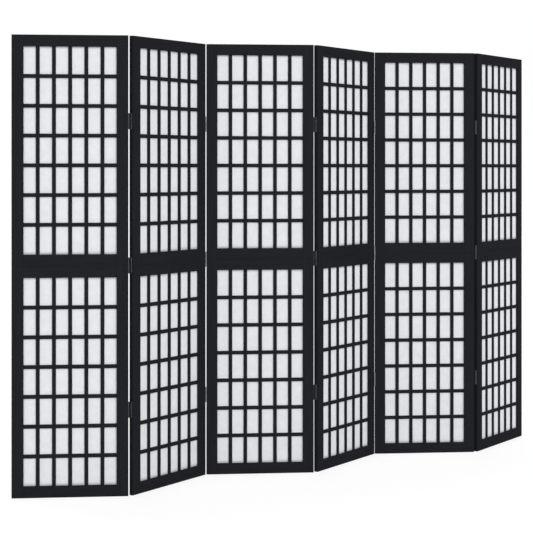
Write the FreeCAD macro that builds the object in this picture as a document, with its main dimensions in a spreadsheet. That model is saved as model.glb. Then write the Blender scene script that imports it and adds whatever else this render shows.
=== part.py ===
import FreeCAD, Part
import os
import re
import Sketcher

# A folding screen of six lattice panels with paper, standing in a zigzag on its bottom edges.
# Each panel is two half frames, one stacked on the other at mid-height and held by dowels.
# X runs along the screen, Y from its front to its back, Z up from the floor.
# Each kind of piece is drawn once, where it sits in a panel that stands square on the origin.
# Copies of it are then turned, repeated and stood in the screen's six panels.

PANEL_COUNT = 6
ROOT_PANEL = 3
ACROSS = FreeCAD.Vector(1, 0, 0)
INTO = FreeCAD.Vector(0, 1, 0)
UP = FreeCAD.Vector(0, 0, 1)
HALF_TURN = "180"
PARALLEL_WITHIN = 1e-6

# Driving sizes: lengths in millimetres, the fold in degrees, and counts.
SIZES = {
    # Half frames of a panel
    "panel_width": 451,
    "panel_height": 1800,
    "panel_depth": 18,
    "stile_width": 45.5,
    "rail_height": 45,
    "edge_round": 1,
    "tenon_thickness": 6,
    "shoulder_land": 3,
    "mortise_floor": 4,
    "joint_clearance": 0.1,
    "dowel_radius": 4,
    "dowel_length": 50,
    "dowel_spacing": 200,
    # Lattice and paper
    "column_count": 6,
    "row_count": 7,
    "bar_width": 15,
    "bar_recess": 3.75,
    "seat_depth": 5,
    "paper_thickness": 0.5,
    # Hinges
    "hinge_count": 3,
    "hinge_height": 62,
    "hinge_end_distance": 335,
    "fold_clearance": 0.5,
    "leaf_thickness": 1,
    "leaf_setback": 5,
    "free_knuckle_count": 2,
    "knuckle_wall": 1.05,
    "knuckle_clearance": 0.1,
    "knuckle_gap": 0.3,
    "pin_radius": 1,
    "pin_clearance": 0.05,
    "pin_head_height": 0.8,
    # Hinge screws
    "screw_count": 4,
    "screw_end_distance": 9,
    "screw_length": 13,
    "screw_radius": 1.2,
    "screw_head_rim": 1.1,
    "screw_tip_length": 2.5,
    "screw_tip_radius": 0.3,
    "screw_clearance": 0.05,
    "cross_length": 2.6,
    "cross_width": 0.6,
    "cross_depth": 0.6,
    # Stance and cutting
    "rest_fold": 48.6,
    "overrun": 2,
}

# Sizes and places that follow from the driving ones, measured in a panel's own frame.
DERIVED = {
    "half_fold": "rest_fold / 2",
    "half_width": "panel_width / 2",
    "half_depth": "panel_depth / 2",
    "half_height": "panel_height / 2",
    "half_bar": "bar_width / 2",
    "half_paper": "paper_thickness / 2",
    "opening_width": "panel_width - 2 * stile_width",
    "opening_height": "half_height - 2 * rail_height",
    "opening_top": "half_height - rail_height",
    "half_opening": "opening_width / 2",
    "bar_depth": "half_depth - bar_recess - half_paper",
    "column_step": "(opening_width + bar_width) / column_count",
    "row_step": "opening_height / row_count",
    "first_column": "column_step - bar_width - half_opening",
    "first_row": "rail_height + row_step - half_bar",
    "seat_cut": "seat_depth + joint_clearance",
    "lattice_half_depth": "half_paper + bar_depth + joint_clearance",
    "groove_half_depth": "half_paper + joint_clearance",
    "tenon_half_depth": "tenon_thickness / 2",
    "mortise_half_depth": "tenon_half_depth + joint_clearance",
    "tenon_length": "stile_width - screw_length - mortise_floor",
    "tenon_shoulder": "seat_cut + shoulder_land",
    "dowel_left": "-dowel_spacing / 2",
    "dowel_bottom": "half_height - dowel_length / 2",
    "hinge_step": "(panel_height - 2 * hinge_end_distance) / (hinge_count - 1)",
    "hinge_bottom": "hinge_end_distance - hinge_height / 2",
    "hinge_top": "hinge_bottom + hinge_height",
    "leaf_face": "half_width + leaf_thickness",
    "leaf_far_edge": "leaf_setback - half_depth",
    "leaf_near_edge": "axis_depth - knuckle_radius - knuckle_clearance",
    "bore_radius": "pin_radius + pin_clearance",
    "pin_head_radius": "bore_radius + knuckle_wall / 2",
    "knuckle_radius": "bore_radius + knuckle_wall",
    "knuckle_count": "2 * free_knuckle_count + 1",
    "knuckle_step": "hinge_height / knuckle_count",
    "axis_reach": "half_width + knuckle_radius + knuckle_clearance",
    "axis_depth": "half_depth + fold_clearance / 2",
    "screw_step": "(hinge_height - 2 * screw_end_distance) / (screw_count - 1)",
    "screw_depth": "(leaf_far_edge + leaf_near_edge) / 2",
    "first_screw": "hinge_bottom + screw_end_distance",
    "shank_length": "screw_length - leaf_thickness - screw_tip_length",
    "pilot_depth": "screw_length - leaf_thickness + joint_clearance",
    "screw_head_radius": "screw_radius + screw_head_rim",
    "head_taper": "atan(screw_head_rim / leaf_thickness)",
    "tip_taper": "atan((screw_radius - screw_tip_radius) / screw_tip_length)",
    "panel_step": "2 * (axis_reach * cos(half_fold) + axis_depth * sin(half_fold))",
}

doc = FreeCAD.newDocument("FoldingScreen")
sheet = doc.addObject("Spreadsheet::Sheet", "Sizes")
for row, (name, value) in enumerate(SIZES.items(), 1):
    sheet.set(f"A{row}", name)
    sheet.set(f"B{row}", str(value))
    sheet.setAlias(f"B{row}", name)
doc.recompute()


def formula(words):
    """Spell a formula in named sizes as an expression of the document."""
    def spell(match):
        name = match.group()
        if name in DERIVED:
            return "(" + formula(DERIVED[name]) + ")"
        return "Sizes." + name if name in SIZES else name
    return re.sub(r"[a-z][a-z_]*", spell, words)


def number(words):
    """The present value of a formula in named sizes."""
    return float(sheet.evalExpression(formula(words)))


def steps(name, fewer=0):
    """Count off the copies that a count in the sheet asks for."""
    return range(int(number(name)) - fewer)


def bind(thing, path, words):
    thing.setExpression(path, formula(words))


# Sketches and features

def new_sketch(body, plane_role, away="0", along="0"):
    """A sketch parallel to a plane of the body, moved away from that plane and along its own x."""
    sketch = body.newObject("Sketcher::SketchObject", "Sketch")
    plane = next(item for item in body.Origin.OriginFeatures if item.Role == plane_role)
    sketch.AttachmentSupport = [(plane, "")]
    sketch.MapMode = "FlatFace"
    bind(sketch, "AttachmentOffset.Base.z", away)
    bind(sketch, "AttachmentOffset.Base.x", along)
    return sketch


def hold_point(sketch, shape, point, across, up):
    """Hold a point of a sketched shape at two formulas from the sketch's origin."""
    for kind, words in (("DistanceX", across), ("DistanceY", up)):
        index = sketch.addConstraint(Sketcher.Constraint(kind, -1, 1, shape, point, number(words)))
        bind(sketch, f"Constraints[{index}]", words)


def draw_rectangle(sketch, left, right, bottom, top):
    first = sketch.GeometryCount
    x_left, x_right, y_bottom, y_top = (number(words) for words in (left, right, bottom, top))
    places = ((x_left, y_bottom), (x_right, y_bottom), (x_right, y_top), (x_left, y_top))
    corners = [FreeCAD.Vector(x, y, 0) for x, y in places]
    sketch.addGeometry([Part.LineSegment(corners[side - 1], corners[side]) for side in range(4)], False)
    rules = []
    for side in range(4):
        rules.append(Sketcher.Constraint("Coincident", first + side, 2, first + (side + 1) % 4, 1))
        rules.append(Sketcher.Constraint("Horizontal" if side % 2 else "Vertical", first + side))
    sketch.addConstraint(rules)
    hold_point(sketch, first, 2, left, bottom)
    hold_point(sketch, first + 2, 2, right, top)


def draw_circle(sketch, across, up, radius):
    middle = FreeCAD.Vector(number(across), number(up), 0)
    shape = sketch.addGeometry(Part.Circle(middle, UP, number(radius)), False)
    hold_point(sketch, shape, 3, across, up)
    index = sketch.addConstraint(Sketcher.Constraint("Radius", shape, number(radius)))
    bind(sketch, f"Constraints[{index}]", radius)


def pad(body, sketch, length, turned=False, both_ways=False, taper="0"):
    """Raise a sketch along its normal, or against it where turned."""
    feature = body.newObject("PartDesign::Pad", "Pad")
    feature.Profile = sketch
    feature.Reversed = turned
    feature.SideType = "Symmetric" if both_ways else "One side"
    bind(feature, "Length", length)
    bind(feature, "TaperAngle", taper)
    return feature


def pocket(body, sketch, depth, turned=False, taper="0"):
    """Cut a sketch in against its normal, or along it where turned."""
    feature = body.newObject("PartDesign::Pocket", "Pocket")
    feature.Profile = sketch
    feature.Reversed = turned
    bind(feature, "Length", depth)
    bind(feature, "TaperAngle", taper)


def revolve(body, sketch):
    """Turn a sketch right round its own upright axis."""
    feature = body.newObject("PartDesign::Revolution", "Revolution")
    feature.Profile = sketch
    feature.ReferenceAxis = (sketch, ["V_Axis"])


def ease_edges(body, board, directions):
    """Round a square board's edges that run along the given directions."""
    doc.recompute()
    names = []
    for index, edge in enumerate(board.Shape.Edges, 1):
        run = edge.tangentAt(edge.FirstParameter)
        if any(run.isParallel(way, PARALLEL_WITHIN) for way in directions):
            names.append(f"Edge{index}")
    fillet = body.newObject("PartDesign::Fillet", "Fillet")
    fillet.Base = (board, names)
    bind(fillet, "Radius", "edge_round")


# Pieces of a panel, drawn once. A stile, leaf, pin or screw is drawn for the right-hand edge,
# with the hinge line just behind the back face.

RAIL_SPANS = (("0", "rail_height"), ("opening_top", "half_height"))


def new_body(name):
    return doc.addObject("PartDesign::Body", name)


def draw_stile(base, hinged):
    """An upright of the half frame that stands at the base, mortised for its rails."""
    body = new_body("stile")
    section = new_sketch(body, "XY_Plane", base)
    draw_rectangle(section, "half_opening", "half_width", "-half_depth", "half_depth")
    ease_edges(body, pad(body, section, "half_height"), (ACROSS, INTO, UP))
    mortises = new_sketch(body, "YZ_Plane", "half_opening")
    for bottom, top in RAIL_SPANS:
        draw_rectangle(mortises, "-mortise_half_depth", "mortise_half_depth",
                       f"{base} + {bottom} + tenon_shoulder - joint_clearance",
                       f"{base} + {top} - tenon_shoulder + joint_clearance")
    pocket(body, mortises, "tenon_length + joint_clearance", turned=True)
    seats = new_sketch(body, "YZ_Plane", "half_opening")
    for step in steps("row_count", fewer=1):
        bottom = f"{base} + first_row + {step} * row_step"
        draw_rectangle(seats, "-lattice_half_depth", "lattice_half_depth",
                       f"{bottom} - joint_clearance", f"{bottom} + bar_width + joint_clearance")
    pocket(body, seats, "seat_cut", turned=True)
    groove = new_sketch(body, "YZ_Plane", "half_opening")
    draw_rectangle(groove, "-groove_half_depth", "groove_half_depth",
                   f"{base} + rail_height - seat_cut", f"{base} + opening_top + seat_cut")
    pocket(body, groove, "seat_cut", turned=True)
    if hinged:
        drill_pilots(body, base)
    return body


def drill_pilots(stile, base):
    """Holes for those hinge screws that go into the half frame at the base."""
    pilots = new_sketch(stile, "YZ_Plane", "half_width")
    for hinge in steps("hinge_count"):
        for step in steps("screw_count"):
            height = f"first_screw + {hinge} * hinge_step + {step} * screw_step"
            if number(base) < number(height) < number(f"{base} + half_height"):
                draw_circle(pilots, "screw_depth", height, "screw_radius + screw_clearance")
    pocket(stile, pilots, "pilot_depth")


def draw_rail(name, bottom, top, over_opening):
    """A cross member of the lower half frame, tenoned, let in along its edge on the opening."""
    body = new_body(name)
    section = new_sketch(body, "YZ_Plane")
    draw_rectangle(section, "-half_depth", "half_depth", bottom, top)
    ease_edges(body, pad(body, section, "opening_width", both_ways=True), (ACROSS,))
    tenons = new_sketch(body, "YZ_Plane")
    draw_rectangle(tenons, "-tenon_half_depth", "tenon_half_depth",
                   f"{bottom} + tenon_shoulder", f"{top} - tenon_shoulder")
    pad(body, tenons, "opening_width + 2 * tenon_length", both_ways=True)
    edge = bottom if over_opening else top
    seats = new_sketch(body, "XY_Plane", edge)
    for step in steps("column_count", fewer=1):
        left = f"first_column + {step} * column_step"
        draw_rectangle(seats, f"{left} - joint_clearance", f"{left} + bar_width + joint_clearance",
                       "-lattice_half_depth", "lattice_half_depth")
    pocket(body, seats, "seat_cut", turned=over_opening)
    groove = new_sketch(body, "XY_Plane", edge)
    draw_rectangle(groove, "-half_opening - overrun", "half_opening + overrun",
                   "-groove_half_depth", "groove_half_depth")
    pocket(body, groove, "seat_cut", turned=over_opening)
    return body


def draw_middle_rail():
    """The rail at the top of the lower half frame, bored for the dowels."""
    body = draw_rail("middle_rail", *RAIL_SPANS[1], over_opening=True)
    holes = new_sketch(body, "XY_Plane", "half_height")
    for across in ("dowel_left", "-dowel_left"):
        draw_circle(holes, across, "0", "dowel_radius + joint_clearance")
    pocket(body, holes, "dowel_length / 2 + joint_clearance")
    return body


def draw_dowel():
    """The left one of the dowels that hold the upper half frame on the lower."""
    body = new_body("dowel")
    section = new_sketch(body, "XY_Plane", "dowel_bottom")
    draw_circle(section, "dowel_left", "0", "dowel_radius")
    pad(body, section, "dowel_length")
    return body


def draw_upright():
    """The first upright bar of the lower opening, before the paper, lapped on its paper side."""
    body = new_body("upright_bar")
    section = new_sketch(body, "XZ_Plane", "half_paper")
    draw_rectangle(section, "first_column", "first_column + bar_width",
                   "rail_height - seat_depth", "opening_top + seat_depth")
    pad(body, section, "bar_depth")
    laps = new_sketch(body, "XZ_Plane", "half_paper")
    for step in steps("row_count", fewer=1):
        bottom = f"first_row + {step} * row_step"
        draw_rectangle(laps, "first_column - overrun", "first_column + bar_width + overrun",
                       f"{bottom} - joint_clearance", f"{bottom} + bar_width + joint_clearance")
    pocket(body, laps, "bar_depth / 2", turned=True)
    return body


def draw_crossbar():
    """The lowest cross bar of the lower opening, before the paper, lapped on its outer side."""
    body = new_body("cross_bar")
    section = new_sketch(body, "XZ_Plane", "half_paper")
    draw_rectangle(section, "-half_opening - seat_depth", "half_opening + seat_depth",
                   "first_row", "first_row + bar_width")
    pad(body, section, "bar_depth")
    laps = new_sketch(body, "XZ_Plane", "half_paper + bar_depth / 2")
    for step in steps("column_count", fewer=1):
        left = f"first_column + {step} * column_step"
        draw_rectangle(laps, f"{left} - joint_clearance", f"{left} + bar_width + joint_clearance",
                       "first_row - overrun", "first_row + bar_width + overrun")
    pocket(body, laps, "bar_depth / 2 + overrun", turned=True)
    return body


def draw_sheet():
    """The paper of the lower opening, its edges tucked into the frame's grooves."""
    paper = doc.addObject("Part::Box", "paper_sheet")
    bind(paper, "Length", "opening_width + 2 * seat_depth")
    bind(paper, "Width", "paper_thickness")
    bind(paper, "Height", "opening_height + 2 * seat_depth")
    bind(paper, "Placement.Base.x", "-half_opening - seat_depth")
    bind(paper, "Placement.Base.y", "-half_paper")
    bind(paper, "Placement.Base.z", "rail_height - seat_depth")
    return paper


def draw_leaf(name, first_knuckle):
    """The lowest hinge leaf of an edge, with every second knuckle from the first one named.
    Its knuckles are as wide as the gap between two stiles, and stand half out of it."""
    body = new_body(name)
    plate = new_sketch(body, "YZ_Plane", "half_width")
    draw_rectangle(plate, "leaf_far_edge", "leaf_near_edge", "hinge_bottom", "hinge_top")
    pad(body, plate, "leaf_thickness")
    tabs = new_sketch(body, "YZ_Plane", "half_width")
    knuckles = new_sketch(body, "YZ_Plane", "axis_reach", "axis_depth")
    for step in steps("knuckle_count")[first_knuckle::2]:
        bottom = f"hinge_bottom + {step} * knuckle_step + knuckle_gap / 2"
        top = f"hinge_bottom + {step + 1} * knuckle_step - knuckle_gap / 2"
        draw_rectangle(tabs, "leaf_far_edge", "axis_depth", bottom, top)
        draw_rectangle(knuckles, "bore_radius", "knuckle_radius", bottom, top)
    pad(body, tabs, "leaf_thickness")
    revolve(body, knuckles)
    holes = new_sketch(body, "YZ_Plane", "leaf_face")
    for step in steps("screw_count"):
        draw_circle(holes, "screw_depth", f"first_screw + {step} * screw_step",
                    "screw_head_radius + screw_clearance")
    pocket(body, holes, "leaf_thickness", taper="-head_taper")
    return body


def draw_pin():
    """The pin of an edge's lowest hinge, headed at both ends."""
    body = new_body("hinge_pin")
    shank = new_sketch(body, "YZ_Plane", "axis_reach", "axis_depth")
    draw_rectangle(shank, "0", "pin_radius", "hinge_bottom", "hinge_top")
    revolve(body, shank)
    heads = new_sketch(body, "YZ_Plane", "axis_reach", "axis_depth")
    draw_rectangle(heads, "0", "pin_head_radius", "hinge_bottom - pin_head_height", "hinge_bottom")
    draw_rectangle(heads, "0", "pin_head_radius", "hinge_top", "hinge_top + pin_head_height")
    revolve(body, heads)
    return body


def draw_screw():
    """The lowest countersunk screw of an edge, its head flush with the leaf."""
    body = new_body("hinge_screw")
    lengths = (
        ("leaf_face", "screw_head_radius", "leaf_thickness", "-head_taper"),
        ("half_width", "screw_radius", "shank_length", "0"),
        ("half_width - shank_length", "screw_radius", "screw_tip_length", "-tip_taper"),
    )
    for start, radius, length, taper in lengths:
        section = new_sketch(body, "YZ_Plane", start)
        draw_circle(section, "screw_depth", "first_screw", radius)
        pad(body, section, length, turned=True, taper=taper)
    for wide, tall in (("cross_length", "cross_width"), ("cross_width", "cross_length")):
        slot = new_sketch(body, "YZ_Plane", "leaf_face")
        draw_rectangle(slot, f"screw_depth - {wide} / 2", f"screw_depth + {wide} / 2",
                       f"first_screw - {tall} / 2", f"first_screw + {tall} / 2")
        pocket(body, slot, "cross_depth")
    return body


# Copies

def place(label, things, x="0", z="0", axis=UP, angle="0"):
    """Stand copies of things, as one group, at a place and turn of their own."""
    group = doc.addObject("Part::Compound", label)
    group.Label = label
    group.Links = things
    group.Placement = FreeCAD.Placement(FreeCAD.Vector(), FreeCAD.Rotation(axis, 1))
    bind(group, "Placement.Base.x", x)
    bind(group, "Placement.Base.z", z)
    bind(group, "Placement.Rotation.Angle", angle)
    return group


def repeat_up(piece, count_name, step_name):
    """Copies of a piece one above another."""
    return [place("copy", [piece], z=f"{step} * {step_name}") for step in steps(count_name)]


def turn_over(thing, side, face):
    """Turn what is drawn for the right-hand edge and the back to another edge and face."""
    upside_down = side != face
    axis = (ACROSS if side > 0 else INTO) if upside_down else UP
    unturned = side > 0 and face > 0
    return place("turned", [thing], z="panel_height" if upside_down else "0",
                 axis=axis, angle="0" if unturned else HALF_TURN)


def lay_lattice():
    """All bars of a panel: the front ones in both openings, and the same behind the paper."""
    upright, crossbar = draw_upright(), draw_crossbar()
    bars = [place("bar", [upright], x=f"{step} * column_step") for step in steps("column_count", fewer=1)]
    bars += [place("bar", [crossbar], z=f"{step} * row_step") for step in steps("row_count", fewer=1)]
    front = [place("half", bars), place("half", bars, z="half_height")]
    return [place("face", front), place("face", front, angle=HALF_TURN)]


# Panels in the screen

def hinge_at(panel, side):
    """The hinge line on a panel's edge: its number, and the face that it stands behind."""
    joint = panel if side > 0 else panel - 1
    face = 1 if joint % 2 else -1
    return (joint, face) if 1 <= joint < PANEL_COUNT else (None, None)


def holds_pin(panel, joint):
    """Of two hinged panels, the one nearer the root panel holds the pins."""
    return panel == (joint + 1 if joint < ROOT_PANEL else joint)


def stand(label, things, panel):
    """Stand pieces of a panel, as a node of the part, where that panel stands in the zigzag."""
    offset = panel - (PANEL_COUNT + 1) / 2
    yaw = "-half_fold" if panel % 2 else "half_fold"
    return place(label, things, x=f"{offset} * panel_step", angle=yaw)


def build_screen():
    """All nodes of the part: the half frames, lattice, paper and hinges of each panel."""
    bottom_rail = draw_rail("bottom_rail", *RAIL_SPANS[0], over_opening=False)
    middle_rail = draw_middle_rail()
    lower_sheet = draw_sheet()
    dowel = draw_dowel()
    inside = {
        "end_rails": [bottom_rail, turn_over(bottom_rail, -1, 1)],
        "middle_rails": [middle_rail, turn_over(middle_rail, -1, 1)],
        "dowels": [dowel, place("second_dowel", [dowel], x="dowel_spacing")],
        "lattice_bars": lay_lattice(),
        "paper": [lower_sheet, place("upper_sheet", [lower_sheet], z="half_height")],
    }
    stiles = {
        hinged: place("stiles", [draw_stile("0", hinged), draw_stile("half_height", hinged)])
        for hinged in (True, False)
    }
    leaves = {
        True: place("pin_leaves", repeat_up(draw_leaf("pin_leaf", 0), "hinge_count", "hinge_step")),
        False: place("free_leaves", repeat_up(draw_leaf("free_leaf", 1), "hinge_count", "hinge_step")),
    }
    pins = place("pins", repeat_up(draw_pin(), "hinge_count", "hinge_step"))
    hinge_screws = place("screws", repeat_up(draw_screw(), "screw_count", "screw_step"))
    screws = place("edge_screws", repeat_up(hinge_screws, "hinge_count", "hinge_step"))
    nodes = []
    for panel in range(1, PANEL_COUNT + 1):
        pieces = {**inside, "hinge_leaves": [], "hinge_screws": []}
        for name, side in (("left", -1), ("right", 1)):
            joint, face = hinge_at(panel, side)
            pieces[f"{name}_stiles"] = [turn_over(stiles[joint is not None], side, face or side)]
            if joint is None:
                continue
            pieces["hinge_leaves"].append(turn_over(leaves[holds_pin(panel, joint)], side, face))
            pieces["hinge_screws"].append(turn_over(screws, side, face))
            if holds_pin(panel, joint):
                nodes.append(stand(f"hinge_pins_{joint}_{joint + 1}", [turn_over(pins, side, face)], panel))
        nodes += [stand(f"panel_{panel}_{name}", things, panel) for name, things in pieces.items()]
    return nodes


def check(nodes):
    """Stop before anything is written if a feature failed, cut nothing or left a bad shape."""
    for thing in doc.Objects:
        if {"Invalid", "Error"} & set(thing.State):
            raise RuntimeError(f"{thing.Label} failed: {thing.State}")
        if thing.TypeId == "PartDesign::Pocket" and thing.Shape.Volume >= thing.BaseFeature.Shape.Volume:
            raise RuntimeError(f"{thing.Label} cuts nothing")
    for node in nodes:
        if node.Shape.isNull() or not node.Shape.isValid() or not node.Shape.Solids:
            raise RuntimeError(f"{node.Label} has no sound shape")


all_nodes = build_screen()
doc.recompute()
check(all_nodes)
os.makedirs("parts", exist_ok=True)
for node in all_nodes:
    node.Shape.exportStep(f"parts/{node.Label}.step")
    print(node.Label, len(node.Shape.Solids), "solids", round(node.Shape.Volume), "mm3")
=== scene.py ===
import math
import random

import bmesh
import bpy
from mathutils import Matrix, Vector


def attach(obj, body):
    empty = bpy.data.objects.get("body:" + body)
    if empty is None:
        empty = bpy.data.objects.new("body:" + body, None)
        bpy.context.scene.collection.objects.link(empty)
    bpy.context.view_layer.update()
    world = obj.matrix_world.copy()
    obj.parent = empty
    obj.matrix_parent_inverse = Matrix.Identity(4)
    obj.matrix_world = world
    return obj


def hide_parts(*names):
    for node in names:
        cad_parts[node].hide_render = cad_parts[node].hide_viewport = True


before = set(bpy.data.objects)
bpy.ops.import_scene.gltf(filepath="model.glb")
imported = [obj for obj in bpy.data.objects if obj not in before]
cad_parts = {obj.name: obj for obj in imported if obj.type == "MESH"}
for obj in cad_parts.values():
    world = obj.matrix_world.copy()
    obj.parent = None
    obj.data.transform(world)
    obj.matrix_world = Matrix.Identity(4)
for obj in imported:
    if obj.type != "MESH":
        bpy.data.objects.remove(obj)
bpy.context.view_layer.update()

# Sizes of the screen in metres, the same as its solids have.
MM = 0.001
PANEL_COUNT = 6
PANEL_WIDTH = 451 * MM
PANEL_HEIGHT = 1800 * MM
PANEL_DEPTH = 18 * MM
STILE_WIDTH = 45.5 * MM
RAIL_HEIGHT = 45 * MM
COLUMN_COUNT = 6
ROW_COUNT = 7
BAR_WIDTH = 15 * MM
BAR_DEPTH = 5 * MM
SEAT_DEPTH = 5 * MM
LAP_CLEARANCE = 0.1 * MM
PAPER_THICKNESS = 0.5 * MM
HINGE_GAP = 4.4 * MM
HINGE_LINE = 0.25 * MM
HALF_FOLD = math.radians(48.6 / 2)

# What the scene adds to them: the eased edge of a bar, and how far a pane of paper stands out at most.
BAR_ARRIS = 0.5 * MM
PAPER_BULGE = 0.35 * MM
PAPER_SQUARES = (37, 41)

# Places closer than the first, and faces that meet flatter than the second, count as one.
SAME_PLACE = 0.1 * MM
SAME_FACE = math.radians(1)

# Worked out from these. A panel stands square on the origin before it takes its place in the zigzag.
PANELS = range(1, PANEL_COUNT + 1)
HALF_HEIGHT = PANEL_HEIGHT / 2
OPENING_WIDTH = PANEL_WIDTH - 2 * STILE_WIDTH
OPENING_HEIGHT = HALF_HEIGHT - 2 * RAIL_HEIGHT
COLUMN_STEP = (OPENING_WIDTH + BAR_WIDTH) / COLUMN_COUNT
ROW_STEP = OPENING_HEIGHT / ROW_COUNT
FIRST_COLUMN = COLUMN_STEP - BAR_WIDTH - OPENING_WIDTH / 2
FIRST_ROW = RAIL_HEIGHT + ROW_STEP - BAR_WIDTH / 2
BAR_FACE = PAPER_THICKNESS / 2 + BAR_DEPTH
SHEET_WIDTH = OPENING_WIDTH + 2 * SEAT_DEPTH
SHEET_HEIGHT = OPENING_HEIGHT + 2 * SEAT_DEPTH
SHEET_BOTTOM = RAIL_HEIGHT - SEAT_DEPTH
AXIS_REACH = (PANEL_WIDTH + HINGE_GAP) / 2
AXIS_DEPTH = PANEL_DEPTH / 2 + HINGE_LINE
PANEL_STEP = 2 * (AXIS_REACH * math.cos(HALF_FOLD) + AXIS_DEPTH * math.sin(HALF_FOLD))
AXIS_LINE = AXIS_REACH * math.sin(HALF_FOLD) - AXIS_DEPTH * math.cos(HALF_FOLD)

# Where the photograph was taken from, solved together with the zigzag.
CAMERA_PLACE = (-2.9636, -4.9866, 1.282)
CAMERA_TURN = math.radians(29.165)
FOCAL_PIXELS = 1355.8
HORIZON_ROW = 167.92
PICTURE_SIDE = 533
SENSOR_WIDTH = 36

grain_chance = random.Random(11)
paper_chance = random.Random(23)


def panel_yaw(panel):
    """How far a panel is turned about the upright in the zigzag."""
    return -HALF_FOLD if panel % 2 else HALF_FOLD


def panel_place(panel):
    """The move that takes a panel from square on the origin to its stand in the zigzag."""
    along = (panel - (PANEL_COUNT + 1) / 2) * PANEL_STEP
    return Matrix.Translation((along, 0, 0)) @ Matrix.Rotation(panel_yaw(panel), 4, "Z")


# Materials

STREAK_WIDTH = 3.5 * MM
STREAK_LENGTH = 190 * MM
PORES_PER_STREAK = 5
PORE_DEPTH = 0.15 * MM
BOARD_LENGTH = 3000 * MM

PAPER_CLOUD = 30 * MM
FIBRE_LENGTH = 26 * MM
FIBRE_WIDTH = 1.1 * MM
FIBRE_HEIGHT = 0.1 * MM
FIBRE_LEANS = (-52, -14, 27, 66)

ZINC_CLOUD = 9 * MM
ROLLING_LENGTH = 12 * MM
ROLLING_WIDTH = 0.4 * MM
ROLLING_DEPTH = 0.05 * MM

# A hinge's metal is painted lighter or darker with the way in from the line of the hinge axes. It has a
# painted highlight on the barrel, painted shade on the leaf deep in the gap between the panels, a
# stronger painted highlight towards the open end of a leaf, and painted shade again past where the leaf
# was cut. Each change runs from the first place to the second.
BARREL_HIGHLIGHT_END = (AXIS_LINE - 0.3 * MM, AXIS_LINE + 0.9 * MM)
LEAF_HIGHLIGHT_START = (AXIS_LINE + 7 * MM, AXIS_LINE + 10 * MM)
LEAF_HIGHLIGHT_GAIN = 1.8
LEAF_HIGHLIGHT_END = (AXIS_LINE + 11 * MM, AXIS_LINE + 11.4 * MM)

FLECK_LENGTH = 4 * MM
FLECK_WIDTH = 0.6 * MM


def linear(hex_colour):
    """An sRGB hex colour as linear red, green, blue and alpha."""
    parts = [int(hex_colour[place:place + 2], 16) / 255 for place in (0, 2, 4)]
    return [p / 12.92 if p <= 0.04045 else ((p + 0.055) / 1.055) ** 2.4 for p in parts] + [1]


def feed(tree, node, inputs):
    """Link or set the inputs of a node."""
    for name, value in inputs.items():
        if isinstance(value, bpy.types.NodeSocket):
            tree.links.new(value, node.inputs[name])
        else:
            node.inputs[name].default_value = value


def add(tree, kind, inputs, stops=(), **settings):
    """Add a node with its settings, its inputs and the places and colours of its ramp."""
    node = tree.nodes.new(kind)
    for name, value in settings.items():
        setattr(node, name, value)
    for number, (place, colour) in enumerate(stops):
        ramp = node.color_ramp.elements
        stop = ramp[number] if number < len(ramp) else ramp.new(place)
        stop.position = place
        stop.color = linear(colour)
    feed(tree, node, inputs)
    return node


def greatest(tree, values):
    """The greatest of several values."""
    most = values[0]
    for value in values[1:]:
        most = add(tree, "ShaderNodeMath", {0: most, 1: value}, operation="MAXIMUM").outputs[0]
    return most


def new_material(name):
    """An empty material and the shader that its surface takes."""
    material = bpy.data.materials.new(name)
    material.use_nodes = True
    return material, material.node_tree, material.node_tree.nodes["Principled BSDF"]


def stained_wood(name, grain, turn=0.0, from_map=False):
    """Light softwood stained black under a thin satin lacquer. The stain leaves the grain as a faint
    change of tone, and the pores break up the soft sheen of the lacquer.
    The grain is the size of one streak along each side of the board, and is turned with the board."""
    material, tree, surface = new_material(name)
    places = add(tree, "ShaderNodeTexCoord", {}).outputs["UV" if from_map else "Object"]
    board = add(tree, "ShaderNodeMapping",
                {"Vector": places, "Rotation": (0, 0, turn), "Scale": grain},
                vector_type="TEXTURE").outputs["Vector"]
    streaks = add(tree, "ShaderNodeTexNoise",
                  {"Vector": board, "Scale": 1, "Detail": 6, "Roughness": 0.62,
                   "Distortion": 0.25}).outputs["Fac"]
    pores = add(tree, "ShaderNodeTexNoise",
                {"Vector": board, "Scale": PORES_PER_STREAK, "Detail": 3,
                 "Roughness": 0.7}).outputs["Fac"]
    tone = add(tree, "ShaderNodeValToRGB", {"Fac": streaks},
               stops=((0.3, "1e1f23"), (0.72, "27282c"))).outputs["Color"]
    relief = add(tree, "ShaderNodeBump",
                 {"Strength": 0.25, "Distance": PORE_DEPTH, "Height": pores}).outputs["Normal"]
    feed(tree, surface, {"Base Color": tone, "Normal": relief, "Coat Normal": relief,
                         "Roughness": 0.6, "Specular IOR Level": 0,
                         "Coat Weight": 0.03, "Coat Roughness": 0.4})
    return material


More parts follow.
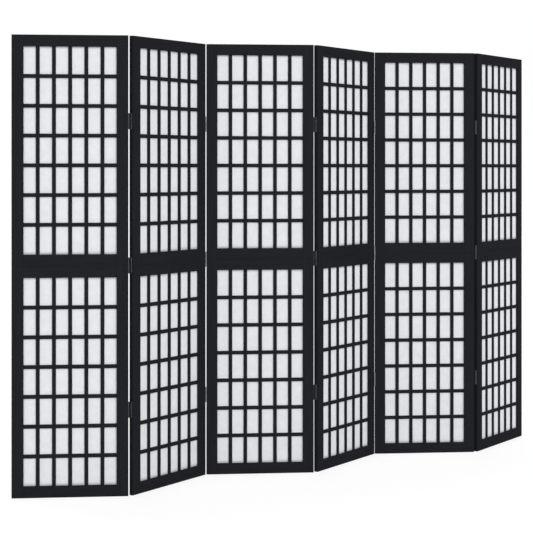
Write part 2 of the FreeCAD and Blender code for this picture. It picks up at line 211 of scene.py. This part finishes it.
def fibre_paper():
    """White screen paper, laid from long fibres: matt, a little cloudy, with fibres that cross at
    random. Real fibres are a tenth of this width, and are drawn wider so that they show."""
    material, tree, surface = new_material("white_fibre_paper")
    places = add(tree, "ShaderNodeTexCoord", {}).outputs["UV"]
    clouds = add(tree, "ShaderNodeTexNoise",
                 {"Vector": places, "Scale": 1 / PAPER_CLOUD, "Detail": 4,
                  "Roughness": 0.55}).outputs["Fac"]
    fibres = []
    for lean in FIBRE_LEANS:
        laid = add(tree, "ShaderNodeMapping",
                   {"Vector": places, "Rotation": (0, 0, math.radians(lean)),
                    "Scale": (FIBRE_LENGTH, FIBRE_WIDTH, 1)},
                   vector_type="TEXTURE").outputs["Vector"]
        fibres.append(add(tree, "ShaderNodeTexNoise",
                          {"Vector": laid, "Scale": 1, "Detail": 2, "Roughness": 0.5,
                           "Distortion": 0.6}).outputs["Fac"])
    strands = greatest(tree, fibres)
    body = add(tree, "ShaderNodeMath", {0: clouds, 1: strands}, operation="ADD").outputs[0]
    spread = add(tree, "ShaderNodeMapRange",
                 {"Value": body, "From Min": 0.8, "From Max": 1.35}).outputs["Result"]
    tone = add(tree, "ShaderNodeValToRGB", {"Fac": spread},
               stops=((0, "e8e9ec"), (1, "f1f2f4"))).outputs["Color"]
    relief = add(tree, "ShaderNodeBump",
                 {"Strength": 0.2, "Distance": FIBRE_HEIGHT, "Height": strands}).outputs["Normal"]
    feed(tree, surface, {"Base Color": tone, "Normal": relief, "Roughness": 0.85,
                         "Specular IOR Level": 0.2})
    return material


def zinc_steel():
    """Cold-rolled steel with a zinc plating. It is grey, with cloudy patches and fine rolling lines. Its
    colour also
    carries painted light: a painted highlight on the outer side of the hinge barrels and near the open
    end of the leaves, and painted shade deep in the gaps between the panels and on the cut ends of the
    leaves."""
    material, tree, surface = new_material("zinc_plated_steel")
    places = add(tree, "ShaderNodeTexCoord", {}).outputs["Object"]
    clouds = add(tree, "ShaderNodeTexNoise",
                 {"Vector": places, "Scale": 1 / ZINC_CLOUD, "Detail": 3,
                  "Roughness": 0.6}).outputs["Fac"]
    rolled = add(tree, "ShaderNodeMapping",
                 {"Vector": places, "Scale": (ROLLING_WIDTH, ROLLING_WIDTH, ROLLING_LENGTH)},
                 vector_type="TEXTURE").outputs["Vector"]
    lines = add(tree, "ShaderNodeTexNoise", {"Vector": rolled, "Scale": 1, "Detail": 2}).outputs["Fac"]
    across = add(tree, "ShaderNodeSeparateXYZ", {"Vector": places}).outputs["Y"]
    inwards = add(tree, "ShaderNodeMath", {0: across}, operation="ABSOLUTE").outputs[0]
    # Painted light on the metal: a painted highlight on the barrel and a stronger one towards the open
    # end of a leaf, painted shade on the leaf deep in the gap between the panels and past its cut end.
    barrel_highlight, leaf_highlight_rise, leaf_highlight_fall = (
        add(tree, "ShaderNodeMapRange",
            {"Value": inwards, "From Min": first, "From Max": last,
             "To Min": before, "To Max": after}).outputs["Result"]
        for (first, last), before, after in (
            (BARREL_HIGHLIGHT_END, 1, 0), (LEAF_HIGHLIGHT_START, 0, LEAF_HIGHLIGHT_GAIN), (LEAF_HIGHLIGHT_END, 1, 0)))
    leaf_highlight = add(tree, "ShaderNodeMath", {0: leaf_highlight_rise, 1: leaf_highlight_fall}, operation="MULTIPLY").outputs[0]
    clear = greatest(tree, [barrel_highlight, leaf_highlight])
    # The cloudy patches are the plating's own tone; the mask they are multiplied by is painted highlight
    # and painted shade.
    clouds_and_painted_light = add(tree, "ShaderNodeMath", {0: clouds, 1: clear}, operation="MULTIPLY").outputs[0]
    tone = add(tree, "ShaderNodeValToRGB", {"Fac": clouds_and_painted_light},
               stops=((0, "48494c"), (0.3, "7c7d80"), (0.7, "a9aaad"))).outputs["Color"]
    sheen = add(tree, "ShaderNodeMapRange",
                {"Value": lines, "To Min": 0.4, "To Max": 0.58}).outputs["Result"]
    relief = add(tree, "ShaderNodeBump",
                 {"Strength": 0.15, "Distance": ROLLING_DEPTH, "Height": lines}).outputs["Normal"]
    feed(tree, surface, {"Base Color": tone, "Roughness": sheen, "Normal": relief, "Metallic": 1})
    return material


def bare_beech():
    """Turned beech, left bare: pale, with short flecks along the dowel."""
    material, tree, surface = new_material("bare_beech")
    places = add(tree, "ShaderNodeTexCoord", {}).outputs["Object"]
    turned = add(tree, "ShaderNodeMapping",
                 {"Vector": places, "Scale": (FLECK_WIDTH, FLECK_WIDTH, FLECK_LENGTH)},
                 vector_type="TEXTURE").outputs["Vector"]
    flecks = add(tree, "ShaderNodeTexNoise", {"Vector": turned, "Scale": 1, "Detail": 3}).outputs["Fac"]
    tone = add(tree, "ShaderNodeValToRGB", {"Fac": flecks},
               stops=((0, "b98c5e"), (1, "d9b488"))).outputs["Color"]
    feed(tree, surface, {"Base Color": tone, "Roughness": 0.6})
    return material


UPRIGHT_GRAIN = (STREAK_WIDTH, STREAK_WIDTH, STREAK_LENGTH)
LEVEL_GRAIN = (STREAK_LENGTH, STREAK_WIDTH, STREAK_WIDTH)
stile_wood = stained_wood("black_stained_wood_upright", UPRIGHT_GRAIN)
rail_wood = {kind: stained_wood(f"black_stained_wood_level_{kind}", LEVEL_GRAIN, panel_yaw(panel))
             for kind, panel in (("odd", 1), ("even", 2))}
bar_wood = stained_wood("black_stained_wood_bars", LEVEL_GRAIN, from_map=True)
paper_white = fibre_paper()
hinge_steel = zinc_steel()
dowel_beech = bare_beech()


# Shapes


def lapped_bar(length, laps, outer_side_lapped):
    """A lattice bar along X, with half its depth cut away at each lap, its outer edges eased.
    Its width runs along Y, and its depth along Z from the whole side to the lapped one."""
    bar = bmesh.new()
    half_depth = BAR_DEPTH / 2
    bmesh.ops.create_cube(bar, size=1)
    bmesh.ops.translate(bar, verts=bar.verts, vec=(0.5, 0.5, 0.5))
    bmesh.ops.scale(bar, verts=bar.verts, vec=(length, BAR_WIDTH, half_depth))
    for start in laps:
        for cut in (start - LAP_CLEARANCE, start + BAR_WIDTH + LAP_CLEARANCE):
            bmesh.ops.bisect_plane(bar, geom=bar.verts[:] + bar.edges[:] + bar.faces[:],
                                   plane_co=(cut, 0, 0), plane_no=(1, 0, 0))

    def stays_whole(face):
        middle = face.calc_center_median()
        at_lap = any(start < middle.x < start + BAR_WIDTH for start in laps)
        return middle.z > half_depth - SAME_PLACE and not at_lap

    tops = [face for face in bar.faces if stays_whole(face)]
    raised = bmesh.ops.extrude_face_region(bar, geom=tops)["geom"]
    bmesh.ops.delete(bar, geom=tops, context="FACES_ONLY")
    bmesh.ops.translate(bar, verts=[part for part in raised if isinstance(part, bmesh.types.BMVert)],
                        vec=(0, 0, half_depth))
    bmesh.ops.dissolve_limit(bar, angle_limit=SAME_FACE, verts=bar.verts[:], edges=bar.edges[:])
    outer = BAR_DEPTH if outer_side_lapped else 0
    arrises = [edge for edge in bar.edges
               if all(abs(vert.co.z - outer) < SAME_PLACE for vert in edge.verts)
               and abs(edge.verts[0].co.y - edge.verts[1].co.y) < SAME_PLACE]
    bmesh.ops.bevel(bar, geom=arrises, offset=BAR_ARRIS, segments=2, profile=0.5, affect="EDGES",
                    material=-1)
    return bar


def map_along(shape):
    """Lay a map over a bar, in metres: along its length, and round its sides."""
    layer = shape.loops.layers.uv.new("along_grain")
    for face in shape.faces:
        for corner in face.loops:
            place = corner.vert.co
            corner[layer].uv = (place.x, place.y + place.z)


def gather(shape, move, copies):
    """One mesh of many copies of a bar, each moved to its place, and cut from its own stretch of a
    long board."""
    bar_mesh = bpy.data.meshes.new("bar")
    shape.to_mesh(bar_mesh)
    shape.free()
    whole = bmesh.new()
    for copy in copies:
        first_face = len(whole.faces)
        first_vert = len(whole.verts)
        whole.from_mesh(bar_mesh)
        whole.verts.ensure_lookup_table()
        whole.faces.ensure_lookup_table()
        bmesh.ops.transform(whole, matrix=copy @ move, verts=whole.verts[first_vert:])
        layer = whole.loops.layers.uv.active
        shift = Vector((grain_chance.uniform(0, BOARD_LENGTH), grain_chance.uniform(0, BOARD_LENGTH)))
        for face in whole.faces[first_face:]:
            for corner in face.loops:
                corner[layer].uv += shift
    bpy.data.meshes.remove(bar_mesh)
    return whole


def add_piece(name, shape, material, body, smooth=False):
    """Make a piece of a shape that is in its place, and let it ride on its panel."""
    mesh = bpy.data.meshes.new(name)
    shape.to_mesh(mesh)
    shape.free()
    mesh.materials.append(material)
    for face in mesh.polygons:
        face.use_smooth = smooth
    piece = bpy.data.objects.new(name, mesh)
    bpy.context.scene.collection.objects.link(piece)
    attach(piece, body)
    return piece


def lattice_places(panel, count, step):
    """Where a panel's bars of one kind stand: in both halves, before and behind the paper."""
    places = []
    for face in (Matrix.Identity(4), Matrix.Rotation(math.pi, 4, "Z")):
        for half in (0, HALF_HEIGHT):
            for number in range(count):
                lift = Matrix.Translation(step * number + Vector((0, 0, half)))
                places.append(panel_place(panel) @ face @ lift)
    return places


def lay_lattice(panel):
    """A panel's bars: uprights with their whole side outwards, cross bars let in behind them."""
    row_laps = [FIRST_ROW - SHEET_BOTTOM + ROW_STEP * row for row in range(ROW_COUNT - 1)]
    upright = lapped_bar(SHEET_HEIGHT, row_laps, outer_side_lapped=False)
    map_along(upright)
    stand_up = Matrix(((0, 1, 0, FIRST_COLUMN),
                       (0, 0, 1, -BAR_FACE),
                       (1, 0, 0, SHEET_BOTTOM),
                       (0, 0, 0, 1)))
    columns = lattice_places(panel, COLUMN_COUNT - 1, Vector((COLUMN_STEP, 0, 0)))
    uprights = gather(upright, stand_up, columns)

    column_laps = [FIRST_COLUMN + SHEET_WIDTH / 2 + COLUMN_STEP * column
                   for column in range(COLUMN_COUNT - 1)]
    crossbar = lapped_bar(SHEET_WIDTH, column_laps, outer_side_lapped=True)
    map_along(crossbar)
    lay_level = Matrix(((1, 0, 0, -SHEET_WIDTH / 2),
                        (0, 0, -1, -PAPER_THICKNESS / 2),
                        (0, 1, 0, FIRST_ROW),
                        (0, 0, 0, 1)))
    rows = lattice_places(panel, ROW_COUNT - 1, Vector((0, 0, ROW_STEP)))
    crossbars = gather(crossbar, lay_level, rows)

    for kind, shape in (("uprights", uprights), ("crossbars", crossbars)):
        piece = add_piece(f"panel_{panel}_lattice_{kind}", shape, bar_wood,
                          f"panel_{panel}")
        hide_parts(f"panel_{panel}_lattice_bars")


def bulge_panes(sheet):
    """Let the paper stand out a little in each pane, to one side or the other."""
    bulges = [[paper_chance.uniform(-1, 1) for row in range(ROW_COUNT)]
              for column in range(COLUMN_COUNT)]
    for vert in sheet.verts:
        column = (vert.co.x + COLUMN_COUNT * COLUMN_STEP / 2) / COLUMN_STEP
        row = min(max((vert.co.y + OPENING_HEIGHT / 2) / ROW_STEP, 0), ROW_COUNT)
        pane = bulges[min(int(column), COLUMN_COUNT - 1)][min(int(row), ROW_COUNT - 1)]
        vert.co.z = PAPER_BULGE * pane * abs(math.sin(math.pi * column) * math.sin(math.pi * row))


def stretch_paper(panel, half, bottom):
    """A sheet of paper held between the bars, slack enough to bulge a little in each pane."""
    sheet = bmesh.new()
    bmesh.ops.create_grid(sheet, x_segments=PAPER_SQUARES[0], y_segments=PAPER_SQUARES[1], size=0.5)
    bmesh.ops.scale(sheet, verts=sheet.verts, vec=(SHEET_WIDTH, SHEET_HEIGHT, 1))
    layer = sheet.loops.layers.uv.new("cut")
    for face in sheet.faces:
        for corner in face.loops:
            place = corner.vert.co
            corner[layer].uv = (place.x + SHEET_WIDTH / 2, place.y + SHEET_HEIGHT / 2)
    bulge_panes(sheet)
    bmesh.ops.solidify(sheet, geom=sheet.faces[:], thickness=PAPER_THICKNESS)
    rim = [vert.co.z for vert in sheet.verts if abs(vert.co.x) > SHEET_WIDTH / 2 - SAME_PLACE]
    bmesh.ops.translate(sheet, verts=sheet.verts, vec=(0, 0, -(min(rim) + max(rim)) / 2))
    stand_up = (Matrix.Translation((0, 0, bottom + SHEET_HEIGHT / 2))
                @ Matrix.Rotation(math.pi / 2, 4, "X"))
    bmesh.ops.transform(sheet, matrix=panel_place(panel) @ stand_up, verts=sheet.verts)
    bmesh.ops.recalc_face_normals(sheet, faces=sheet.faces)
    piece = add_piece(f"panel_{panel}_{half}_paper", sheet, paper_white, f"panel_{panel}",
                      smooth=True)
    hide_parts(f"panel_{panel}_paper")


for panel in PANELS:
    lay_lattice(panel)
    stretch_paper(panel, "lower", SHEET_BOTTOM)
    stretch_paper(panel, "upper", SHEET_BOTTOM + HALF_HEIGHT)


# Finishes of the solids that show as they are

def finish_solid(node_name, material):
    """Give a solid its material."""
    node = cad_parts[node_name]
    node.data.materials.clear()
    node.data.materials.append(material)


for panel in PANELS:
    level_wood = rail_wood["odd" if panel % 2 else "even"]
    finishes = {"left_stiles": stile_wood, "right_stiles": stile_wood,
                "end_rails": level_wood, "middle_rails": level_wood, "dowels": dowel_beech,
                "hinge_leaves": hinge_steel, "hinge_screws": hinge_steel}
    for name, material in finishes.items():
        finish_solid(f"panel_{panel}_{name}", material)
for panel in PANELS[:-1]:
    finish_solid(f"hinge_pins_{panel}_{panel + 1}", hinge_steel)


# Floor, light and camera

WHITE = linear("ffffff")
FLOOR_RADIUS = 40
FLOOR_SIDES = 64
FLOOR_DROP = 0.2 * MM
FLOOR_GLOW = 0.775
LIGHT_SPREAD = math.radians(50)


def seen_directly(tree):
    """One for rays from the camera, or by way of metal or glass, and nothing for the rest."""
    path = add(tree, "ShaderNodeLightPath", {})
    return greatest(tree, [path.outputs[name]
                           for name in ("Is Camera Ray", "Is Glossy Ray", "Is Transmission Ray")])


def studio_floor():
    """Matt white paint. Where it is seen, most of its brightness is its own, so that it is as white as
    the background, and the rest is light that falls on it, which keeps a soft shadow."""
    material, tree, surface = new_material("white_studio_floor")
    tree.nodes.remove(surface)
    matt = add(tree, "ShaderNodeBsdfDiffuse", {"Color": linear("f4f4f4")}).outputs[0]
    shaded = add(tree, "ShaderNodeBsdfDiffuse", {"Color": linear("a0a0a0")}).outputs[0]
    glow = add(tree, "ShaderNodeEmission", {"Color": WHITE, "Strength": FLOOR_GLOW}).outputs[0]
    bright = add(tree, "ShaderNodeAddShader", {0: shaded, 1: glow}).outputs[0]
    either = add(tree, "ShaderNodeMixShader", {0: seen_directly(tree), 1: matt, 2: bright}).outputs[0]
    feed(tree, tree.nodes["Material Output"], {"Surface": either})
    return material


def lay_floor():
    """A wide round floor, a hair under the screen."""
    disc = bmesh.new()
    bmesh.ops.create_circle(disc, cap_ends=True, segments=FLOOR_SIDES, radius=FLOOR_RADIUS)
    bmesh.ops.translate(disc, verts=disc.verts, vec=(0, 0, -FLOOR_DROP))
    mesh = bpy.data.meshes.new("floor")
    disc.to_mesh(mesh)
    disc.free()
    mesh.materials.append(studio_floor())
    floor = bpy.data.objects.new("floor", mesh)
    bpy.context.scene.collection.objects.link(floor)


def light_world(level):
    """White all round: full white where it is seen, and softer as light."""
    world = bpy.data.worlds.new("white_studio")
    bpy.context.scene.world = world
    world.use_nodes = True
    tree = world.node_tree
    tree.nodes.remove(tree.nodes["Background"])
    around = add(tree, "ShaderNodeBackground", {"Color": WHITE, "Strength": level}).outputs[0]
    backdrop = add(tree, "ShaderNodeBackground", {"Color": WHITE, "Strength": 1}).outputs[0]
    either = add(tree, "ShaderNodeMixShader",
                 {0: seen_directly(tree), 1: around, 2: backdrop}).outputs[0]
    feed(tree, tree.nodes["World Output"], {"Surface": either})


def hang_light(name, towards, strength):
    """A broad soft light from far off."""
    lamp = bpy.data.lights.new(name, "SUN")
    lamp.energy = strength
    lamp.angle = LIGHT_SPREAD
    light = bpy.data.objects.new(name, lamp)
    light.rotation_mode = "QUATERNION"
    light.rotation_quaternion = Vector(towards).to_track_quat("-Z", "Y")
    bpy.context.scene.collection.objects.link(light)


def set_camera():
    """A level camera whose frame is shifted down to take the whole screen in, as in the photograph."""
    lens = bpy.data.cameras.new("camera")
    lens.sensor_width = SENSOR_WIDTH
    lens.lens = FOCAL_PIXELS / PICTURE_SIDE * SENSOR_WIDTH
    lens.shift_y = (HORIZON_ROW - PICTURE_SIDE / 2) / PICTURE_SIDE
    camera = bpy.data.objects.new("camera", lens)
    camera.location = CAMERA_PLACE
    camera.rotation_euler = (math.pi / 2, 0, -CAMERA_TURN)
    bpy.context.scene.collection.objects.link(camera)
    bpy.context.scene.camera = camera


lay_floor()
light_world(level=0.365)
hang_light("front_light", towards=(0.103, 0.88, -0.45), strength=1.61)
hang_light("back_light", towards=(-0.1, -0.55, -0.83), strength=0.9)
set_camera()
bpy.context.scene.view_settings.view_transform = "Standard"
